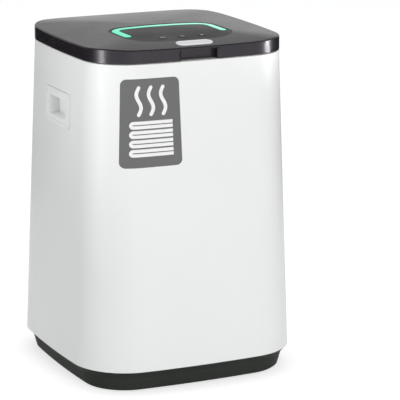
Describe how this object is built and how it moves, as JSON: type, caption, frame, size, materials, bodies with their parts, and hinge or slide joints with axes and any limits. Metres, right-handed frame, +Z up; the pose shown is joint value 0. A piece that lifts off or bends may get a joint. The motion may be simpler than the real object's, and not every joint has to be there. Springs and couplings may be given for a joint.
{
  "type": "towel warmer bucket",
  "caption": "Free-standing heated bucket for warming rolled towels, with a tapered rounded-square shell, a hinged lid, a lit control panel and recessed side handles.",
  "frame": {"origin": "bottom centre, on the floor under the middle of the bucket", "axes": "+Z up, -Y towards the front with the finger notch, +Y towards the hinge, +X to the right seen from the front"},
  "size_m": [0.332, 0.332, 0.488],
  "materials": {
    "shell_white": "satin moulded plastic",
    "base_dark": "fine moulded texture",
    "foot_rubber": "matt",
    "bucket_aluminium": "spun and anodised",
    "rim_white": "satin",
    "zinc_steel": "zinc plated",
    "pin_steel": "ground",
    "heater_silicone": "silicone sheet",
    "insulation_felt": "needled felt",
    "board_green": "solder mask",
    "component_black": "moulded",
    "component_blue": "moulded",
    "component_green": "moulded",
    "lead_red": "silicone lead",
    "lead_black": "sleeved",
    "lid_black": "semi gloss",
    "lining_grey": "smooth",
    "gasket_silicone": "silicone",
    "panel_dark": "matt film",
    "light_mint": "frosted, lit",
    "emitter_white": "clear",
    "key_dark": "matt",
    "button_silver": "satin silver"
  },
  "bodies": {
    "bucket": {"outer_shell": "shell_white", "base_tray": "base_dark", "rubber_feet": "foot_rubber", "inner_bucket": "bucket_aluminium", "top_rim": "rim_white", "heater_band": "heater_silicone", "insulation_jacket": "insulation_felt", "floor_heater": "heater_silicone", "thermostat": "component_black", "thermal_fuse": "component_black", "fuse_clip": "zinc_steel", "power_board": "board_green", "transformer": "component_black", "relay": "component_blue", "terminal_block": "component_green", "filter_capacitor": "component_black", "heater_leads": "lead_red", "main_harness": "lead_black", "handle_left": "shell_white", "handle_right": "shell_white", "cord_gland": "foot_rubber", "hinge_pins": "pin_steel"},
    "lid": {"lid_cover": "lid_black", "lid_inner_panel": "lining_grey", "lid_gasket": "gasket_silicone", "control_panel": "panel_dark", "light_bar": "light_mint", "control_board": "board_green", "light_emitters": "emitter_white", "key_switches": "component_black", "lid_harness": "lead_black", "button_board": "board_green", "button_switch": "component_black", "button_leads": "lead_black"},
    "key_left": {"timer_key": "key_dark"},
    "key_middle": {"heat_key": "key_dark"},
    "key_right": {"light_key": "key_dark"},
    "button": {"power_button": "button_silver"}
  },
  "joints": [
    {"name": "lid_hinge", "type": "hinge", "parent": "bucket", "child": "lid", "pos_m": [0, 0.1568, 0.4575], "axis": [-1, 0, 0], "range_deg": [0, 95]},
    {"name": "timer_key_press", "type": "slide", "parent": "lid", "child": "key_left", "axis": [0, 0, -1], "range_m": [0, 0.0006], "stiffness_N_per_m": 1200, "springref_m": -0.0003},
    {"name": "heat_key_press", "type": "slide", "parent": "lid", "child": "key_middle", "axis": [0, 0, -1], "range_m": [0, 0.0006], "stiffness_N_per_m": 1200, "springref_m": -0.0003},
    {"name": "light_key_press", "type": "slide", "parent": "lid", "child": "key_right", "axis": [0, 0, -1], "range_m": [0, 0.0006], "stiffness_N_per_m": 1200, "springref_m": -0.0003},
    {"name": "power_button_press", "type": "slide", "parent": "lid", "child": "button", "axis": [0, 0, -1], "range_m": [0, 0.0012], "stiffness_N_per_m": 1500, "springref_m": -0.0003}
  ]
}
